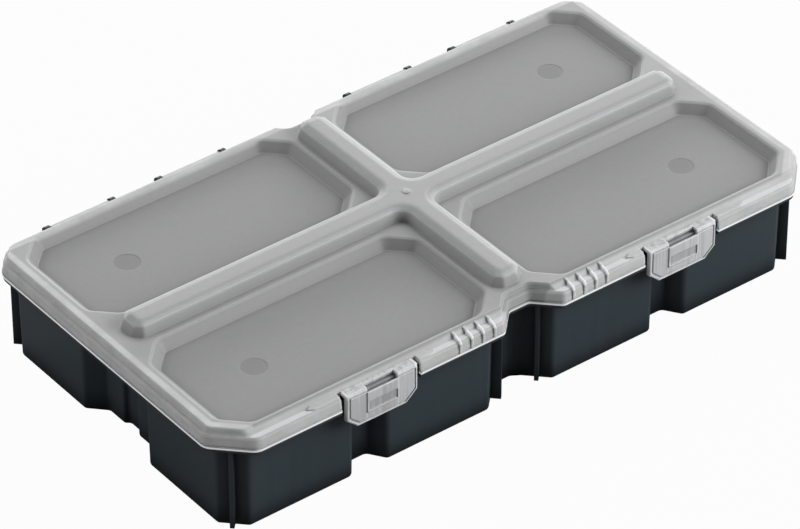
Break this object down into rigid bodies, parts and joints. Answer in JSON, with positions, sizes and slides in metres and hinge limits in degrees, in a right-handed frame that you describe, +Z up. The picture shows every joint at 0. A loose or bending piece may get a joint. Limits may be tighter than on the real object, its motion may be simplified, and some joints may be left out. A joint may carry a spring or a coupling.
{
  "type": "tool organizer box",
  "caption": "Low organizer box with a moulded tub, a hinged frosted lid with sunken panels and a cross rib, and front latches.",
  "frame": {"origin": "under the middle of the whole box, on the surface that it stands on", "axes": "+X along the length, to the right when the latches face the viewer; +Y from the latches to the hinges; +Z up"},
  "size_m": [0.3, 0.1672, 0.0578],
  "materials": {
    "tub_plastic": "satin black moulded polypropylene",
    "lid_plastic": "frosted translucent polypropylene, fine satin",
    "latch_plastic": "clear unpigmented polypropylene, glossier than the lid",
    "pin_steel": "drawn wire"
  },
  "bodies": {
    "base": {"tub": "tub_plastic", "hinge_pin_left_outer": "pin_steel", "hinge_pin_left_inner": "pin_steel", "hinge_pin_right_inner": "pin_steel", "hinge_pin_right_outer": "pin_steel"},
    "lid": {"lid": "lid_plastic"},
    "latch_left": {"latch_left": "latch_plastic"},
    "latch_right": {"latch_right": "latch_plastic"}
  },
  "joints": [
    {"name": "lid_hinge", "type": "hinge", "parent": "base", "child": "lid", "pos_m": [0, 0.0812, 0.0438], "axis": [-1, 0, 0], "range_deg": [0, 180]},
    {"name": "latch_left_fold", "type": "hinge", "parent": "lid", "child": "latch_left", "pos_m": [-0.0758, -0.0793, 0.0486], "axis": [-1, 0, 0], "range_deg": [0, 105]},
    {"name": "latch_right_fold", "type": "hinge", "parent": "lid", "child": "latch_right", "pos_m": [0.0758, -0.0793, 0.0486], "axis": [-1, 0, 0], "range_deg": [0, 105]}
  ]
}
